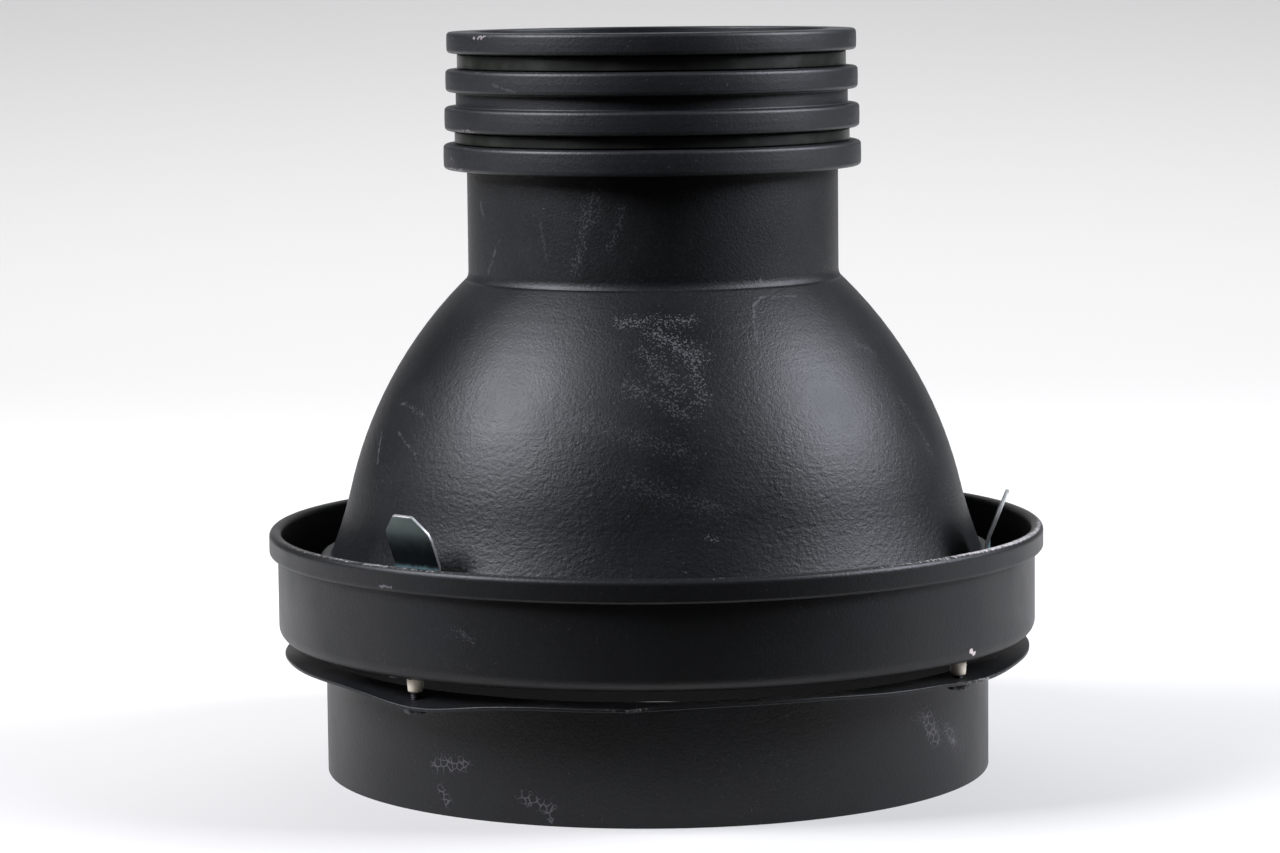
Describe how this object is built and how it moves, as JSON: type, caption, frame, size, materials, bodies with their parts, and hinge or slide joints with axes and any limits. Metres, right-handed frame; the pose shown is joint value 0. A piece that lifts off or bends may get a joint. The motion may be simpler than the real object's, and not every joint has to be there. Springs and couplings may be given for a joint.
{
  "type": "snoot",
  "caption": "Snoot for a studio flash head: spun dome with a ridged front collar, held by spring clips in a rimmed pan that stands off a flanged mounting tube.",
  "frame": {"origin": "centre of the mounting tube's bottom rim, at the bottom centre of the whole object", "axes": "+Z along the snoot's axis from the mounting tube to the front mouth; -Y is the side with the left clip and both front spacers in view; +X to the right of that view"},
  "size_m": [0.1852, 0.1852, 0.1758],
  "materials": {
    "paint": "black fine-texture powder coat, satin",
    "rubber": "smooth semi-gloss black band",
    "zinc": "zinc plated spring steel, blue passivated",
    "ceramic": "unglazed cream ceramic, satin"
  },
  "bodies": {
    "pan_and_tube": {"mounting_tube": "paint", "clip_pan": "paint", "clip_foot_1": "zinc", "clip_rivet_1": "zinc", "clip_foot_2": "zinc", "clip_rivet_2": "zinc", "clip_foot_3": "zinc", "clip_rivet_3": "zinc", "spacer_1": "ceramic", "spacer_screw_1": "zinc", "spacer_nut_1": "zinc", "spacer_2": "ceramic", "spacer_screw_2": "zinc", "spacer_nut_2": "zinc", "spacer_3": "ceramic", "spacer_screw_3": "zinc", "spacer_nut_3": "zinc", "spacer_4": "ceramic", "spacer_screw_4": "zinc", "spacer_nut_4": "zinc"},
    "front_head": {"dome_shell": "paint", "neck_tube": "paint", "front_collar": "paint", "collar_band_front": "rubber", "collar_band_rear": "rubber"},
    "clip_left": {"spring_clip_1": "zinc"},
    "clip_right": {"spring_clip_2": "zinc"},
    "clip_rear": {"spring_clip_3": "zinc"}
  },
  "joints": [
    {"name": "dome_lift", "type": "slide", "parent": "pan_and_tube", "child": "front_head", "axis": [0, 0, 1], "range_m": [0, 0.04]},
    {"name": "clip_left_flex", "type": "hinge", "parent": "pan_and_tube", "child": "clip_left", "pos_m": [-0.05451, -0.06139, 0.0344], "axis": [0.7478, -0.6639, 0], "range_deg": [0, 12], "stiffness_Nm_per_rad": 0.1},
    {"name": "clip_right_flex", "type": "hinge", "parent": "pan_and_tube", "child": "clip_right", "pos_m": [0.07765, -0.03118, 0.0344], "axis": [0.1219, 0.9925, 0], "range_deg": [0, 7], "stiffness_Nm_per_rad": 0.1},
    {"name": "clip_rear_flex", "type": "hinge", "parent": "pan_and_tube", "child": "clip_rear", "pos_m": [-0.01847, 0.08, 0.0344], "axis": [-0.9744, -0.225, 0], "range_deg": [0, 12], "stiffness_Nm_per_rad": 0.1}
  ]
}
